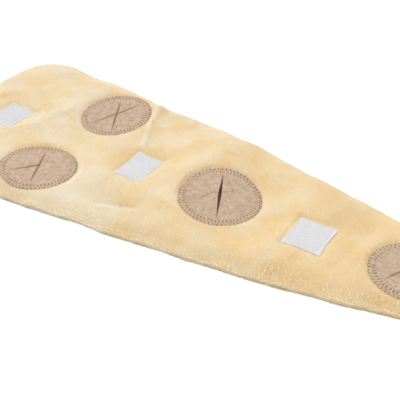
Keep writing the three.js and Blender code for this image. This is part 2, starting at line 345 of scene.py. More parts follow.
def skin_of(mesh):
    """The mesh's faces as a tree that finds places on them."""
    return BVHTree.FromPolygons([v.co for v in mesh.vertices], [tuple(f.vertices) for f in mesh.polygons])


def finished(piece):
    """Replaces a piece's mesh with what its modifiers make of it, and takes them off."""
    bpy.context.view_layer.update()
    evaluated = piece.evaluated_get(bpy.context.evaluated_depsgraph_get())
    made = bpy.data.meshes.new_from_object(evaluated)
    piece.modifiers.clear()
    piece.data = made
    return piece


def shade_smooth(mesh):
    mesh.polygons.foreach_set("use_smooth", [True] * len(mesh.polygons))
    mesh.update()


def store(mesh, name, kind, values):
    attribute = mesh.attributes.new(name, kind, "POINT")
    key = "vector" if kind == "FLOAT_VECTOR" else "value"
    attribute.data.foreach_set(key, np.asarray(values, np.float32).ravel())


def dress(piece, material):
    """Finishes a piece: its material and its body."""
    piece.data.materials.clear()
    piece.data.materials.append(material)
    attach(piece, BODY)
    return piece


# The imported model's nodes

def middle_of(node):
    low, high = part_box(node)
    return (low + high) / 2


def radius_of(node):
    """The radius of a round node."""
    low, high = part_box(node)
    return (high.x - low.x) / 2


def top_surface(node):
    """A smooth surface through the upper faces of a node: z as a function of x and y."""
    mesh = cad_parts[node].data
    middle = middle_of(node)
    index = {i for face in mesh.polygons if face.normal.z > TOP_FACING for i in face.vertices}
    p = points_of(mesh)[sorted(index)]

    def terms(x, y):
        dx = (x - middle.x) / MM / FIT_REACH
        dy = (y - middle.y) / MM / FIT_REACH
        return np.stack([np.ones_like(dx), dx, dy, dx * dx, dx * dy, dy * dy, dx**3, dy**3], -1)

    weights = np.linalg.lstsq(terms(p[:, 0], p[:, 1]), p[:, 2], rcond=None)[0]

    def height(x, y):
        return terms(np.asarray(x, float), np.asarray(y, float)) @ weights

    return height


# Node trees

class Tree:
    """A geometry node tree with named inputs."""

    def __init__(self, name, inputs):
        self.group = bpy.data.node_groups.new(name, "GeometryNodeTree")
        face = self.group.interface
        face.new_socket(name="Geometry", in_out="INPUT", socket_type="NodeSocketGeometry")
        self.sockets = {
            label: face.new_socket(name=label, in_out="INPUT", socket_type=kind)
            for label, kind in inputs.items()
        }
        face.new_socket(name="Geometry", in_out="OUTPUT", socket_type="NodeSocketGeometry")
        self.inputs = self.group.nodes.new("NodeGroupInput").outputs
        self.sink = self.group.nodes.new("NodeGroupOutput")

    def add(self, kind, **settings):
        node = self.group.nodes.new(kind)
        for key, value in settings.items():
            setattr(node, key, value)
        return node

    def link(self, start, end):
        self.group.links.new(start, end)

    def stored(self, name, kind="FLOAT"):
        """A value stored on the mesh."""
        node = self.add("GeometryNodeInputNamedAttribute", data_type=kind)
        node.inputs["Name"].default_value = name
        return node.outputs["Attribute"]

    def random(self, kind, low, high):
        """A random value for each point, from the tree's seed."""
        node = self.add("FunctionNodeRandomValue", data_type=kind)
        node.inputs["Min"].default_value = low
        node.inputs["Max"].default_value = high
        self.link(self.inputs["Seed"], node.inputs["Seed"])
        return node.outputs["Value"]

    def compare(self, operation, first, second):
        node = self.add("FunctionNodeCompare", data_type="FLOAT", operation=operation)
        self.link(first, node.inputs["A"])
        self.link(second, node.inputs["B"])
        return node.outputs["Result"]

    def combine(self, kind, operation, first, second):
        """What a node that takes two values makes of them, such as their sum."""
        node = self.add(kind, operation=operation)
        self.link(first, node.inputs[0])
        self.link(second, node.inputs[1])
        return node.outputs[0]

    def finish(self, geometry):
        """Ends the tree in Realize Instances and Set Material."""
        realize = self.add("GeometryNodeRealizeInstances")
        paint = self.add("GeometryNodeSetMaterial")
        self.link(geometry, realize.inputs["Geometry"])
        self.link(realize.outputs["Geometry"], paint.inputs["Geometry"])
        self.link(self.inputs["Material"], paint.inputs["Material"])
        self.link(paint.outputs["Geometry"], self.sink.inputs["Geometry"])
        return self

    def grow(self, name, mesh, **values):
        """A piece with the plain mesh that the tree makes on a copy of mesh."""
        piece = add_object(name, mesh.copy())
        modifier = piece.modifiers.new(name, "NODES")
        modifier.node_group = self.group
        for label, value in values.items():
            modifier[self.sockets[label].identifier] = value
        return finished(piece)


def tuft_places(tree):
    """Points all over the body, as dense as it says, between two places along the mat."""
    scatter = tree.add("GeometryNodeDistributePointsOnFaces", distribute_method="RANDOM")
    density = tree.combine("ShaderNodeMath", "MULTIPLY", tree.stored("pile_share"), tree.inputs["Density"])
    tree.link(tree.inputs["Geometry"], scatter.inputs["Mesh"])
    tree.link(density, scatter.inputs["Density"])
    tree.link(tree.inputs["Seed"], scatter.inputs["Seed"])
    place = tree.add("GeometryNodeInputPosition")
    apart = tree.add("ShaderNodeSeparateXYZ")
    tree.link(place.outputs["Position"], apart.inputs["Vector"])
    before = tree.compare("LESS_THAN", apart.outputs["X"], tree.inputs["From"])
    after = tree.compare("GREATER_EQUAL", apart.outputs["X"], tree.inputs["To"])
    band = tree.add("GeometryNodeDeleteGeometry", domain="POINT")
    tree.link(scatter.outputs["Points"], band.inputs["Geometry"])
    tree.link(tree.combine("FunctionNodeBooleanMath", "OR", before, after), band.inputs["Selection"])
    return band.outputs["Geometry"]


def tuft_shape(tree):
    """A slim three-sided point."""
    tuft = tree.add("GeometryNodeMeshCone", fill_type="NONE")
    tuft.inputs["Vertices"].default_value = TUFT_SIDES
    tuft.inputs["Radius Top"].default_value = 0.0
    tree.link(tree.inputs["Radius"], tuft.inputs["Radius Bottom"])
    tree.link(tree.inputs["Length"], tuft.inputs["Depth"])
    return tuft.outputs["Mesh"]


def tuft_turn(tree):
    """The way that a tuft leans: along the nap, and a little its own way."""
    stray = tree.random("FLOAT_VECTOR", [-most for most in TUFT_STRAY], TUFT_STRAY)
    aim = tree.combine("ShaderNodeVectorMath", "ADD", tree.stored("pile_lean", "FLOAT_VECTOR"), stray)
    turn = tree.add("FunctionNodeAlignRotationToVector", axis="Z")
    tree.link(aim, turn.inputs["Vector"])
    return turn.outputs["Rotation"]


def tuft_scale(tree):
    """How long a tuft is beside the usual one."""
    share = tree.random("FLOAT", *TUFT_UNEVEN)
    size = tree.combine("ShaderNodeMath", "MULTIPLY", tree.stored("pile_reach"), share)
    scale = tree.add("ShaderNodeCombineXYZ")
    scale.inputs["X"].default_value = 1.0
    scale.inputs["Y"].default_value = 1.0
    tree.link(size, scale.inputs["Z"])
    return scale.outputs["Vector"]


def pile_tree():
    """Tufts of pile, leaning along the nap."""
    tree = Tree("pile", {
        "Density": "NodeSocketFloat",
        "Radius": "NodeSocketFloat",
        "Length": "NodeSocketFloat",
        "From": "NodeSocketFloat",
        "To": "NodeSocketFloat",
        "Seed": "NodeSocketInt",
        "Material": "NodeSocketMaterial",
    })
    plant = tree.add("GeometryNodeInstanceOnPoints")
    tree.link(tuft_places(tree), plant.inputs["Points"])
    tree.link(tuft_shape(tree), plant.inputs["Instance"])
    tree.link(tuft_turn(tree), plant.inputs["Rotation"])
    tree.link(tuft_scale(tree), plant.inputs["Scale"])
    return tree.finish(plant.outputs["Instances"])


def thread_tree():
    """A round thread along the edges of a mesh."""
    tree = Tree("thread", {"Radius": "NodeSocketFloat", "Material": "NodeSocketMaterial"})
    path = tree.add("GeometryNodeMeshToCurve")
    tree.link(tree.inputs["Geometry"], path.inputs["Mesh"])
    section = tree.add("GeometryNodeCurvePrimitiveCircle", mode="RADIUS")
    section.inputs["Resolution"].default_value = THREAD_SIDES
    tree.link(tree.inputs["Radius"], section.inputs["Radius"])
    tube = tree.add("GeometryNodeCurveToMesh")
    tube.inputs["Fill Caps"].default_value = True
    tree.link(path.outputs["Curve"], tube.inputs["Curve"])
    tree.link(section.outputs["Curve"], tube.inputs["Profile Curve"])
    soft = tree.add("GeometryNodeSetShadeSmooth")
    tree.link(tube.outputs["Mesh"], soft.inputs["Geometry"])
    return tree.finish(soft.outputs["Geometry"])


def hook_tree():
    """A small tapered hook on every point of a mesh, each leaning its own way."""
    tree = Tree("tape_hooks", {
        "Radius": "NodeSocketFloat",
        "Length": "NodeSocketFloat",
        "Seed": "NodeSocketInt",
        "Material": "NodeSocketMaterial",
    })
    hook = tree.add("GeometryNodeMeshCone", fill_type="NGON")
    hook.inputs["Vertices"].default_value = HOOK_SIDES
    tree.link(tree.inputs["Radius"], hook.inputs["Radius Bottom"])
    top = tree.add("ShaderNodeMath", operation="MULTIPLY")
    top.inputs[1].default_value = HOOK_TAPER
    tree.link(tree.inputs["Radius"], top.inputs[0])
    tree.link(top.outputs["Value"], hook.inputs["Radius Top"])
    tree.link(tree.inputs["Length"], hook.inputs["Depth"])
    points = tree.add("GeometryNodeMeshToPoints")
    tree.link(tree.inputs["Geometry"], points.inputs["Mesh"])
    lean = tree.random("FLOAT_VECTOR", (-HOOK_SPREAD, -HOOK_SPREAD, 0), (HOOK_SPREAD, HOOK_SPREAD, math.pi))
    plant = tree.add("GeometryNodeInstanceOnPoints")
    tree.link(points.outputs["Points"], plant.inputs["Points"])
    tree.link(hook.outputs["Mesh"], plant.inputs["Instance"])
    tree.link(lean, plant.inputs["Rotation"])
    return tree.finish(plant.outputs["Instances"])


# Materials

class Finish:
    """A node material round one Principled shader."""

    def __init__(self, name, roughness):
        self.material = bpy.data.materials.new(name)
        self.material.use_nodes = True
        self.nodes = self.material.node_tree.nodes
        self.links = self.material.node_tree.links
        self.shader = self.nodes["Principled BSDF"]
        self.shader.inputs["Roughness"].default_value = roughness
        self.shader.inputs["Specular IOR Level"].default_value = 0.15
        self.place = self.nodes.new("ShaderNodeTexCoord").outputs["Object"]

    def noise(self, scale, detail=3.0, roughness=0.55, distortion=0.0):
        node = self.nodes.new("ShaderNodeTexNoise")
        node.inputs["Scale"].default_value = scale
        node.inputs["Detail"].default_value = detail
        node.inputs["Roughness"].default_value = roughness
        node.inputs["Distortion"].default_value = distortion
        self.links.new(self.place, node.inputs["Vector"])
        return node.outputs["Fac"]

    def along(self, axis):
        """The place along one axis, in metres."""
        node = self.nodes.new("ShaderNodeSeparateXYZ")
        self.links.new(self.place, node.inputs["Vector"])
        return node.outputs[axis]

    def distance(self, place):
        """The distance from a place, in metres."""
        node = self.nodes.new("ShaderNodeVectorMath")
        node.operation = "DISTANCE"
        node.inputs[1].default_value = place
        self.links.new(self.place, node.inputs[0])
        return node.outputs["Value"]

    def stored(self, name):
        """A value stored on the mesh."""
        node = self.nodes.new("ShaderNodeAttribute")
        node.attribute_name = name
        return node.outputs["Fac"]

    def span(self, value, low, high):
        """Stretches a field so that low becomes 0 and high becomes 1."""
        node = self.nodes.new("ShaderNodeMapRange")
        node.inputs["From Min"].default_value = low
        node.inputs["From Max"].default_value = high
        self.links.new(value, node.inputs["Value"])
        return node.outputs["Result"]

    def mix(self, share, first, second, blend="MIX"):
        node = self.nodes.new("ShaderNodeMix")
        node.data_type = "RGBA"
        node.blend_type = blend
        for key, value in {"Factor": share, "A": first, "B": second}.items():
            if isinstance(value, bpy.types.NodeSocket):
                self.links.new(value, node.inputs[key])
            else:
                node.inputs[key].default_value = value
        return node.outputs["Result"]

    def paint(self, colour):
        self.links.new(colour, self.shader.inputs["Base Color"])

    def bump(self, height, strength, distance):
        node = self.nodes.new("ShaderNodeBump")
        node.inputs["Strength"].default_value = strength
        node.inputs["Distance"].default_value = distance
        self.links.new(height, node.inputs["Height"])
        self.links.new(node.outputs["Normal"], self.shader.inputs["Normal"])


def plush_finish(name):
    """The shader and the colour of the plush, mottled into lighter and warmer patches, with a painted
    highlight along the crests of the creases.
    """
    finish = Finish(name, roughness=0.9)
    patches = finish.span(finish.noise(42, detail=2.5, roughness=0.5, distortion=0.5), 0.38, 0.66)
    warmth = finish.span(finish.noise(30, detail=2.5, roughness=0.55, distortion=0.8), 0.46, 0.75)
    grain = finish.span(finish.noise(900, detail=2.0, roughness=0.6), 0.3, 0.7)
    towards_tip = finish.span(finish.along("X"), *WARM_ALONG)
    base = finish.mix(patches, PLUSH_CREAM, PLUSH_PALE)
    brushed = finish.mix(warmth, base, PLUSH_WARM)
    warmed = finish.mix(towards_tip, brushed, PLUSH_WARM)
    patch = finish.span(finish.distance(PALE_PATCH["middle"]), PALE_PATCH["reach"], 0)
    paled = finish.mix(patch, warmed, PLUSH_PALE)
    # painted highlight along the crests of the creases
    toned = finish.mix(finish.stored("crest"), paled, PLUSH_PALE)
    shaded = finish.mix(grain, GRAIN_SHADE, WHITE)
    finish.shader.inputs["Sheen Weight"].default_value = 0.35
    finish.shader.inputs["Sheen Roughness"].default_value = 0.6
    finish.shader.inputs["Sheen Tint"].default_value = PLUSH_SHEEN
    return finish, finish.mix(1.0, toned, shaded, "MULTIPLY")


def pile_finish():
    finish, colour = plush_finish("plush_pile")
    finish.paint(colour)
    return finish.material


def body_finish():
    finish, colour = plush_finish("plush_backing")
    # painted shade: the plush in the hollow under the gaping pocket is mixed to a shadowed brown
    finish.paint(finish.mix(finish.stored("pocket_painted_shade"), colour, POCKET_SHADE_BROWN))
    finish.bump(finish.noise(700, detail=3.0, roughness=0.6), strength=0.5, distance=0.4 * MM)
    return finish.material


def felt_finish():
    finish = Finish("felt_beige", roughness=0.95)
    cloud = finish.span(finish.noise(230, detail=3.0, roughness=0.65), 0.34, 0.66)
    fleck = finish.span(finish.noise(620, detail=3.0, roughness=0.7, distortion=1.2), 0.53, 0.74)
    base = finish.mix(cloud, FELT_BEIGE, FELT_LIGHT)
    heathered = finish.mix(fleck, base, FELT_DARK)
    # painted shade: the felt turns a darker brown along the grooves of the closed slits
    finish.paint(finish.mix(finish.stored("groove"), heathered, SLIT_SHADE_BROWN))
    fibres = finish.noise(1100, detail=4.0, roughness=0.7, distortion=0.8)
    finish.bump(fibres, strength=0.6, distance=0.25 * MM)
    finish.shader.inputs["Sheen Weight"].default_value = 0.15
    return finish.material


def thread_finish():
    finish = Finish("beige_thread", roughness=0.75)
    tone = finish.span(finish.noise(500, detail=2.0), 0.3, 0.7)
    finish.paint(finish.mix(tone, THREAD_BEIGE, FELT_LIGHT))
    return finish.material


def dent_shadow_finish():
    finish = Finish("needle_dent_shadow", roughness=0.95)
    tone = finish.span(finish.noise(600, detail=2.0), 0.45, 0.8)
    # painted shadow: dark brown bars in the needle's hollows between the stitches
    finish.paint(finish.mix(tone, DENT_SHADOW_BROWN, FELT_DARK))
    return finish.material


def tape_finish():
    finish = Finish("hook_tape_white", roughness=0.6)
    tone = finish.span(finish.noise(800, detail=2.0), 0.3, 0.7)
    finish.paint(finish.mix(tone, TAPE_WHITE, TAPE_GREY))
    finish.bump(finish.noise(1500, detail=2.0), strength=0.3, distance=0.15 * MM)
    return finish.material


def stage_finish(name, glow):
    finish = Finish(name, roughness=0.9)
    finish.paint(finish.mix(finish.noise(3, detail=1.0), FLOOR_WHITE, FLOOR_SHADE))
    finish.shader.inputs["Emission Color"].default_value = WHITE
    finish.shader.inputs["Emission Strength"].default_value = glow
    return finish.material


# Plush pad

def cad_copy(name, node):
    """A copy of a node's mesh with its loose triangles joined."""
    made = bmesh.new()
    made.from_mesh(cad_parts[node].data)
    bmesh.ops.remove_doubles(made, verts=made.verts, dist=MERGE_DISTANCE)
    mesh = bpy.data.meshes.new(name)
    made.to_mesh(mesh)
    made.free()
    return add_object(name, mesh)


def edge_share(normals):
    """How far a place belongs to the rounded edge: 0 on the level top and underside, 1 on the side."""
    return smooth_step(*EDGE_FACING, np.abs(normals[:, 2]))


def swell(piece):
    """Fills the pad with a short cloth simulation. Each point stays near its place, and the edge in it."""
    before = points_of(piece.data)
    free = 1 - edge_share(normals_of(piece.data))[:, None]
    cloth = piece.modifiers.new("fill", "CLOTH")
    cloth.settings.use_pressure = True
    cloth.settings.uniform_pressure_force = CLOTH_PRESSURE
    cloth.settings.effector_weights.gravity = 0
    cloth.point_cache.frame_end = CLOTH_FRAMES
    scene = bpy.context.scene
    for step in range(1, CLOTH_FRAMES + 1):
        scene.frame_set(step)
    finished(piece)
    scene.frame_set(1)
    moved = points_of(piece.data) - before
    far = np.linalg.norm(moved, axis=1, keepdims=True)
    moved *= free * (SWELL_CAP / np.maximum(far, SWELL_CAP))
    set_points(piece.data, before + moved)


def rim_drop(depth):
    """How far a disc is drawn down by its sewing, from the distance inside its rim."""
    return RIM_SEWN_DOWN * smooth_step(RIM_SLOPE_END, 0.0, depth)


def sewn_disc(pocket):
    """What the plush has to fit under a disc: its surface, how far inside its rim a point is, the room
    that it takes there, and the depth and the rim of the hollow in its middle."""
    middle = middle_of(pocket["node"])
    radius = radius_of(pocket["node"])

    def inside(x, y):
        return radius - np.hypot(x - middle.x, y - middle.y)

    def room(depth):
        return FELT_THICKNESS + rim_drop(depth) + GROOVE_DEPTH * smooth_step(*GROOVE_ROOM, depth)

    return {
        "surface": top_surface(pocket["node"]),
        "inside": inside,
        "room": room,
        "hollow": POCKET_HOLLOW if pocket["gape"] >= 1 else 0,
        "hollow_rim": HOLLOW_RIM * radius,
    }


def sewn_square(square):
    """The same for a square of hook tape, which has no hollow."""
    middle = middle_of(square["node"])

    def inside(x, y):
        along, across = along_and_across(x, y, middle, square["turn"])
        return np.minimum(square["along"] / 2 - np.abs(along), square["across"] / 2 - np.abs(across))

    def room(depth):
        return TAPE_THICKNESS + TAPE_BORDER_DROP * smooth_step(TAPE_BORDER, 0.0, depth)

    return {"surface": top_surface(square["node"]), "inside": inside, "room": room, "hollow": 0}


def crease_rise(x, y):
    """Height of the creases over the top of the plush, in millimetres."""
    rise = np.zeros_like(x)
    for crease in CREASES:
        away = segment_distance(x / MM, y / MM, crease["start"], crease["end"]) / crease["reach"]
        rise += crease["height"] * hump(away)
    return rise


def crease_top(points, normals):
    """Raises the creases in the top of the plush."""
    rise = MM * crease_rise(points[:, 0], points[:, 1])
    points[:, 2] += rise * smooth_step(*CREASE_FACING, normals[:, 2])
    return points


def press_wells(points, normals, sewn):
    """Dips the top of the plush under each sewn-on piece, and hollows the gaping pocket."""
    upper = normals[:, 2] > WELL_FACING
    for piece in sewn:
        depth = piece["inside"](points[:, 0], points[:, 1])
        near = upper & (depth > -WELL_RAMP)
        x, y, z = points[near].T
        floor = piece["surface"](x, y) - piece["room"](depth[near]) - WELL_CLEAR
        if piece["hollow"]:
            rim = piece["hollow_rim"]
            floor -= piece["hollow"] * smooth_step(HOLLOW_START * rim, rim, depth[near])
        dip = smooth_step(-WELL_RAMP, 0.0, depth[near])
        points[near, 2] = z + dip * (np.minimum(floor, z) - z)
    return points


def fit_edge(points, normals):
    """Sets the rounded edge back to the solid's own, less the pile that stands on it."""
    skin = skin_of(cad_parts["plush_mat"].data)
    side = edge_share(normals)
    for i in np.flatnonzero(side > 0):
        place, outward, _, _ = skin.find_nearest(Vector(points[i]))
        target = np.array(place - EDGE_PILE * outward)
        points[i] += side[i] * (target - points[i])
    return points


def plush_body(sewn):
    """The pad without its pile: the solid made smaller, filled, creased and pressed in."""
    piece = cad_copy("plush_body", "plush_mat")
    remesh = piece.modifiers.new("remesh", "REMESH")
    remesh.mode = "VOXEL"
    remesh.voxel_size = REMESH_VOXEL
    even = piece.modifiers.new("even", "SMOOTH")
    even.iterations = SMOOTH_ROUNDS
    even.factor = SMOOTH_FACTOR
    finished(piece)
    normals = normals_of(piece.data)
    under = smooth_step(*UNDERSIDE_FACING, normals[:, 2])[:, None]
    inset = PILE_HEIGHT + under * (UNDERSIDE_PILE - PILE_HEIGHT)
    set_points(piece.data, points_of(piece.data) - inset * normals)
    swell(piece)
    finer = piece.modifiers.new("finer", "SUBSURF")
    finer.levels = 1
    finer.render_levels = 1
    finished(piece)
    normals = normals_of(piece.data)
    points = fit_edge(points_of(piece.data), normals)
    points = crease_top(points, normals)
    points = press_wells(points, normals, sewn)
    points[:, 2] = np.maximum(points[:, 2], UNDERSIDE_PILE)
    set_points(piece.data, points)
    shade_smooth(piece.data)
    return piece


def brushed_nap(x, y, normals):
    """The way that the nap is brushed along the surface, and how far it leans."""
    turn = np.full_like(x, NAP_TURN)
    for kind in NAP_TURN_WAVES:
        turn += uneven(x, y, kind)
    nap = np.stack([np.cos(turn), np.sin(turn), np.zeros_like(turn)], 1)
    nap -= normals * (nap * normals).sum(1, keepdims=True)
    return nap, NAP_LEAN * (1.0 + uneven(x, y, NAP_LEAN_WAVES))


def comb_pile(body, sewn):
    """Stores where the pile grows on the body, how long it is, which way it leans, and where the painted
    shade in the pocket's hollow and the painted highlight on the creases go.
    """
    points = points_of(body.data)
    normals = normals_of(body.data)
    x, y, z = points.T
    facing = normals[:, 2]
    under = smooth_step(*UNDERSIDE_NAP_FACING, facing)
    share = 1 - under * (1 - UNDERSIDE_DENSITY)
    pocket_painted_shade = np.zeros_like(x)
    above = facing > 0
    for piece in sewn:
        depth = piece["inside"](x, y)
        share[above & (depth > PILE_STOP)] = 0
        if piece["hollow"]:
            # painted shade on the plush in the hollow under the gaping pocket
            pocket_painted_shade += above * smooth_step(*POCKET_SHADE, depth)
    nap, strength = brushed_nap(x, y, normals)
    edge = smooth_step(*DROOP_FACING, facing) * (1 - under)
    short = smooth_step(*SHORT_FACING, facing) * (1 - under)
    down = normals * normals[:, 2:] - (0, 0, 1)
    droop = EDGE_DROOP * edge * smooth_step(*DROOP_HEIGHT, z)
    sideways = strength * (1 - edge) + UNDERSIDE_LEAN * under
    lean = normals + nap * sideways[:, None] + down * droop[:, None]
    reach = (1 - under * (1 - UNDERSIDE_LENGTH)) * (1 - short * (1 - EDGE_LENGTH))
    store(body.data, "pocket_painted_shade", "FLOAT", pocket_painted_shade)
    # where the painted highlight on the crests of the creases goes
    store(body.data, "crest", "FLOAT", np.clip(crease_rise(x, y) / CREST_HIGHLIGHT_HEIGHT, 0, 1))
    store(body.data, "pile_share", "FLOAT", share)
    store(body.data, "pile_lean", "FLOAT_VECTOR", lean)
    store(body.data, "pile_reach", "FLOAT", reach)


def make_mat():
    sewn = [sewn_disc(pocket) for pocket in POCKETS] + [sewn_square(square) for square in HOOK_SQUARES]
    body = plush_body(sewn)
    comb_pile(body, sewn)
    tree = pile_tree()
    finish = pile_finish()
    low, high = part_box("plush_mat")
    cuts = [low.x + (high.x - low.x) * share for share in BAND_ENDS]
    for k, (start, end) in enumerate(zip(cuts, cuts[1:]), 1):
        band = tree.grow(
            f"plush_pile_{k}",
            body.data,
            Density=TUFT_DENSITY,
            Radius=TUFT_RADIUS,
            Length=TUFT_LENGTH,
            From=start,
            To=end,
            Seed=TUFT_SEED,
            Material=finish,
        )
        dress(band, finish)
    dress(body, body_finish())
    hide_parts("plush_mat")


# Felt pockets

def slit_way(turn):
    """The direction of a slit, from its turn in degrees."""
    return Vector((math.cos(math.radians(turn)), math.sin(math.radians(turn)), 0))


def slits_of(pocket, middle):
    """The two slits of a disc: middle, turn, reach, and the width and groove of the left and right arm."""
    first, second = pocket["slits"]
    gape = max(SLIT_WIDTH, pocket["gape"] * GAPE_WIDTH)
    widths = [SLIT_SHUT + arm * (SLIT_WIDTH - SLIT_SHUT) for arm in pocket["arms"]]
    return [
        {
            "middle": middle,
            "turn": first,
            "reach": pocket["reach"] * MM,
            "widths": (gape, gape),
            "grooves": (SLIT_WIDTH / gape, SLIT_WIDTH / gape),
        },
        {
            "middle": middle + SLIT_CROSSING * slit_way(first),
            "turn": second,
            "reach": SLIT_REACH,
            "widths": widths,
            "grooves": pocket["arms"],
        },
    ]


def slit_cutter(slit):
    """A long thin prism, widest in the middle."""
    reach = slit["reach"]
    left, right = slit["widths"]
    below = [
        (-reach, -min(SLIT_END, left) / 2),
        (-SLIT_WIDTH, -left / 2),
        (SLIT_WIDTH, -right / 2),
        (reach, -min(SLIT_END, right) / 2),
    ]
    outline = below + [(along, -beside) for along, beside in reversed(below)]
    points = [
        (*turned_place(along, beside, slit["middle"], slit["turn"]), z)
        for z in CUTTER_HEIGHTS
        for along, beside in outline
    ]
    n = len(outline)
    sides = [(k, (k + 1) % n, n + (k + 1) % n, n + k) for k in range(n)]
    caps = [tuple(reversed(range(n))), tuple(range(n, 2 * n))]
    return add_object("slit", mesh_from("slit", points, sides + caps))


def cut_slits(piece, slits):
    cutters = [slit_cutter(slit) for slit in slits]
    for cutter in cutters:
        cut = piece.modifiers.new("slit", "BOOLEAN")
        cut.operation = "DIFFERENCE"
        cut.solver = "EXACT"
        cut.object = cutter
    finished(piece)
    for cutter in cutters:
        bpy.data.objects.remove(cutter)


def flap_lift(pocket, middle, x, y):
    """How far the felt beside a gaping slit stands up."""
    along, beside = along_and_across(x, y, middle, pocket["slits"][0])
    share = hump(along / FLAP["along"]) * hump((beside - FLAP["beside"]) / FLAP["reach"])
    return pocket["gape"] * FLAP["lift"] * share


def groove_share(slits, points):
    """How far down the felt is pressed along its closed slits, as a share of a plain groove. The same share
    sets the painted shade along them.
    """
    groove = np.zeros(len(points))
    for slit in slits:
        for side, strength in zip((-1, 1), slit["grooves"]):
            end = slit["middle"] + side * slit["reach"] * slit_way(slit["turn"])
            away = segment_distance(points[:, 0], points[:, 1], slit["middle"][:2], end[:2])
            along = np.hypot(*(points[:, :2] - slit["middle"][:2]).T) / slit["reach"]
            taper = GROOVE_END + (1 - GROOVE_END) * smooth_step(*GROOVE_TAPER, along)
            groove = np.maximum(groove, strength * taper * hump(away / GROOVE_REACH))
    return groove


def round_sheet(node, middle):
    """A round sheet of felt in rings about its middle, drawn down at its rim."""
    radius = radius_of(node)
    r = radius * np.arange(1, FELT_RINGS + 1) / FELT_RINGS
    a = 2 * math.pi * np.arange(FELT_AROUND) / FELT_AROUND
    x = np.concatenate([[middle.x], (middle.x + np.outer(r, np.cos(a))).ravel()])
    y = np.concatenate([[middle.y], (middle.y + np.outer(r, np.sin(a))).ravel()])
    top = top_surface(node)(x, y) + uneven(x, y, FELT_WAVES)
    top -= rim_drop(radius - np.hypot(x - middle.x, y - middle.y))

    def ring(k, j):
        return 1 + k * FELT_AROUND + j % FELT_AROUND

    faces = []
    for j in range(FELT_AROUND):
        faces.append((0, ring(0, j), ring(0, j + 1)))
        for k in range(FELT_RINGS - 1):
            faces.append((ring(k, j), ring(k + 1, j), ring(k + 1, j + 1), ring(k, j + 1)))
    border = [ring(FELT_RINGS - 1, j) for j in range(FELT_AROUND)]
    upper = np.stack([x, y, top], 1)
    lower = np.stack([x, y, top - FELT_THICKNESS], 1)
    return sheet_mesh(node, upper, lower, faces, border)


def felt_disc(pocket):
    """A disc with its two slits, the flap that gapes and the grooves along what is closed."""
    node = pocket["node"]
    middle = middle_of(node)
    piece = add_object(node + "_disc", round_sheet(node, middle))
    slits = slits_of(pocket, middle)
    cut_slits(piece, slits)
    points = points_of(piece.data)
    groove = groove_share(slits, points)
    points[:, 2] += flap_lift(pocket, middle, points[:, 0], points[:, 1])
    points[:, 2] -= GROOVE_DEPTH * groove
    set_points(piece.data, points)
    store(piece.data, "groove", "FLOAT", groove)
    return piece


def needle_holes(pocket, disc):
    """The path of the zigzag thread round a disc, and the ends of the painted shadows in the needle's
    hollows between its stitches.
    """
    middle = middle_of(pocket["node"])
    radius = radius_of(pocket["node"])
    skin = skin_of(disc.data)

    def on_felt(r, angle, lift):
        way = Vector((math.cos(angle), math.sin(angle), 0))
        above = middle + min(r, radius - RIM_INSET) * way
        hit = skin.ray_cast(Vector((above.x, above.y, ABOVE_FELT)), Vector((0, 0, -1)))[0]
        place = middle + r * way
        return (place.x, place.y, hit.z + lift)

    count = round(2 * math.pi * (radius - STITCH_INNER) / STITCH_PITCH)
    rng = np.random.default_rng(STITCH_SEED)
    path = []
    dent_shadows = {depth: [] for depth in DENT_SHADOWS}
    for k in range(count):
        for side, row in enumerate((STITCH_OUTER, STITCH_INNER)):
            angle = 2 * math.pi * (k + 0.5 * side + STITCH_STRAY["along"] * rng.uniform(-1, 1)) / count
            r = radius - row + STITCH_STRAY["across"] * rng.uniform(-1, 1)
            between = angle + math.pi / count
            outward = 1 - 2 * side
            # painted shadow: bigger bars where the way out of the band points with the nap, away from the
            # front lamp
            depth = "shadow_side" if outward * math.cos(between - NAP_TURN) > SHADOW_SIDE_FACING else "lit_side"
            dent_shadow = DENT_SHADOWS[depth]
            dent_shadows[depth].append(on_felt(r, between, -dent_shadow["sink"]))
            dent_shadows[depth].append(on_felt(r - outward * dent_shadow["length"], between, -dent_shadow["sink"]))
            path.append(on_felt(r, angle, 0.0))
            half_way = 2 * math.pi * (k + 0.5 * side + 0.25) / count
            path.append(on_felt(radius - (STITCH_OUTER + STITCH_INNER) / 2, half_way, THREAD_ARCH))
    return path, dent_shadows


def rim_stitches(pocket, disc, tree, finish):
    """The zigzag thread, and the painted shadows in the hollows that the needle left."""
    path, dent_shadows = needle_holes(pocket, disc)
    thread = tree.grow(
        pocket["node"] + "_zigzag",
        mesh_from("zigzag", path, edges=[(i, (i + 1) % len(path)) for i in range(len(path))]),
        Radius=THREAD_RADIUS,
        Material=finish["thread"],
    )
    pieces = [dress(thread, finish["thread"])]
    for depth, ends in dent_shadows.items():
        made = tree.grow(
            f"{pocket['node']}_{depth}_dents",
            mesh_from("dent_shadows", ends, edges=[(i, i + 1) for i in range(0, len(ends), 2)]),
            Radius=DENT_SHADOWS[depth]["radius"],
            Material=finish["dent_shadow"],
        )
        pieces.append(dress(made, finish["dent_shadow"]))
    return pieces


def make_pockets():
    tree = thread_tree()
    finish = {"felt": felt_finish(), "thread": thread_finish(), "dent_shadow": dent_shadow_finish()}
    for pocket in POCKETS:
        disc = felt_disc(pocket)
        stitches = rim_stitches(pocket, disc, tree, finish)
        dress(disc, finish["felt"])
        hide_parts(pocket["node"])


# Hook tape

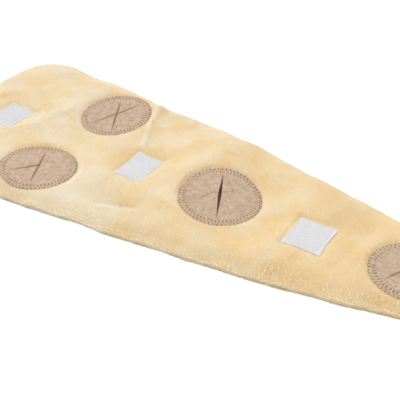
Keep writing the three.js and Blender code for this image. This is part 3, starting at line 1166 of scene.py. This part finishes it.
def tape_sheet(square):
    """A square of tape whose sides pull in between its corners, with its border sewn down."""
    node = square["node"]
    n = TAPE_STEPS + 1
    steps = np.linspace(-1, 1, n)
    u, v = np.meshgrid(steps, steps, indexing="ij")
    along = u * (square["along"] / 2 - TAPE_DRAW_IN * (1 - v * v))
    across = v * (square["across"] / 2 - TAPE_DRAW_IN * (1 - u * u))
    x, y = turned_place(along, across, middle_of(node), square["turn"])
    top = top_surface(node)(x, y) + uneven(x, y, TAPE_WAVES)
    top -= TAPE_BORDER_DROP * smooth_step(TAPE_BORDER_START, 1.0, np.maximum(np.abs(u), np.abs(v)))

    def at(i, j):
        return i * n + j

    faces = [
        (at(i, j), at(i + 1, j), at(i + 1, j + 1), at(i, j + 1))
        for i in range(TAPE_STEPS)
        for j in range(TAPE_STEPS)
    ]
    border = [at(i, 0) for i in range(n)] + [at(n - 1, j) for j in range(1, n)]
    border += [at(i, n - 1) for i in range(n - 2, -1, -1)] + [at(0, j) for j in range(n - 2, 0, -1)]
    upper = np.stack([x, y, top], -1).reshape(-1, 3)
    lower = np.stack([x, y, top - TAPE_THICKNESS], -1).reshape(-1, 3)
    piece = add_object(node + "_sheet", sheet_mesh(node, upper, lower, faces, border))
    shade_smooth(piece.data)
    return piece


def hook_rows(square):
    """Places of the hooks, in even rows."""
    node = square["node"]
    half_x = square["along"] / 2 - HOOK_MARGIN
    half_y = square["across"] / 2 - HOOK_MARGIN
    rows = np.meshgrid(np.arange(-half_x, half_x, HOOK_PITCH), np.arange(-half_y, half_y, HOOK_PITCH))
    along, across = (row.ravel() for row in rows)
    x, y = turned_place(along, across, middle_of(node), square["turn"])
    return np.stack([x, y, top_surface(node)(x, y) + HOOK_RISE], 1)


def make_tapes():
    tree = hook_tree()
    finish = tape_finish()
    for square in HOOK_SQUARES:
        node = square["node"]
        sheet = tape_sheet(square)
        hooks = tree.grow(
            node + "_hooks",
            mesh_from("hook_places", hook_rows(square)),
            Radius=HOOK_RADIUS,
            Length=HOOK_LENGTH,
            Seed=HOOK_SEED,
            Material=finish,
        )
        dress(hooks, finish)
        dress(sheet, finish)
        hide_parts(node)


# Stage

def make_camera():
    anchor = middle_of(ANCHOR_NODE)
    data = bpy.data.cameras.new("camera")
    data.lens = CAMERA_LENS
    data.sensor_width = CAMERA_SENSOR
    data.clip_start, data.clip_end = CAMERA_CLIP
    camera = bpy.data.objects.new("camera", data)
    camera.location = (anchor.x + CAMERA_FROM_ANCHOR[0], anchor.y + CAMERA_FROM_ANCHOR[1], CAMERA_HEIGHT)
    camera.rotation_euler = (math.pi / 2 - CAMERA_PITCH, 0, CAMERA_TURN)
    bpy.context.scene.collection.objects.link(camera)
    bpy.context.scene.camera = camera


def make_floor():
    """A plain white floor, which throws no soft light back on the mat."""
    corners = [(-1, -1), (1, -1), (1, 1), (-1, 1)]
    points = [(FLOOR_HALF * x, FLOOR_HALF * y, -FLOOR_DROP) for x, y in corners]
    mesh = mesh_from("studio_floor", points, [(0, 1, 2, 3)])
    floor = add_object("studio_floor", mesh)
    mesh.materials.append(stage_finish("studio_floor", FLOOR_GLOW))
    floor.visible_diffuse = False


def make_backdrop():
    """A white wall all round, which takes no part in the light."""
    n = WALL_STEPS
    turns = [2 * math.pi * k / n for k in range(n)]
    points = [
        (WALL_RADIUS * math.cos(turn), WALL_RADIUS * math.sin(turn), z)
        for z in (0, WALL_HEIGHT)
        for turn in turns
    ]
    faces = [(k, n + k, n + (k + 1) % n, (k + 1) % n) for k in range(n)]
    mesh = mesh_from("studio_wall", points, faces)
    mesh.materials.append(stage_finish("studio_wall", WALL_GLOW))
    wall = add_object("studio_wall", mesh)
    wall.visible_diffuse = False
    wall.visible_glossy = False
    wall.visible_shadow = False


def make_sky():
    """White light from all round, weaker from below."""
    world = bpy.data.worlds.new("studio")
    bpy.context.scene.world = world
    world.use_nodes = True
    nodes, links = world.node_tree.nodes, world.node_tree.links
    sky = nodes["Background"]
    sky.inputs["Color"].default_value = WHITE
    way = nodes.new("ShaderNodeTexCoord")
    apart = nodes.new("ShaderNodeSeparateXYZ")
    level = nodes.new("ShaderNodeMapRange")
    level.inputs["From Min"].default_value = SKY_RISE[0]
    level.inputs["From Max"].default_value = SKY_RISE[1]
    level.inputs["To Min"].default_value = SKY_LOW
    level.inputs["To Max"].default_value = SKY_HIGH
    links.new(way.outputs["Generated"], apart.inputs["Vector"])
    links.new(apart.outputs["Z"], level.inputs["Value"])
    links.new(level.outputs["Result"], sky.inputs["Strength"])


def make_lamps():
    """Round lamps, all aimed at the middle of the mat."""
    for lamp in LAMPS:
        data = bpy.data.lights.new(lamp["name"], "AREA")
        data.energy = lamp["watts"]
        data.shape = "DISK"
        data.size = lamp["size"]
        light = bpy.data.objects.new(lamp["name"], data)
        light.location = lamp["place"]
        light.rotation_euler = (-Vector(lamp["place"])).to_track_quat("-Z", "Y").to_euler()
        bpy.context.scene.collection.objects.link(light)


make_camera()
make_mat()
make_pockets()
make_tapes()
make_floor()
make_backdrop()
make_sky()
make_lamps()
bpy.context.scene.view_settings.view_transform = "Standard"
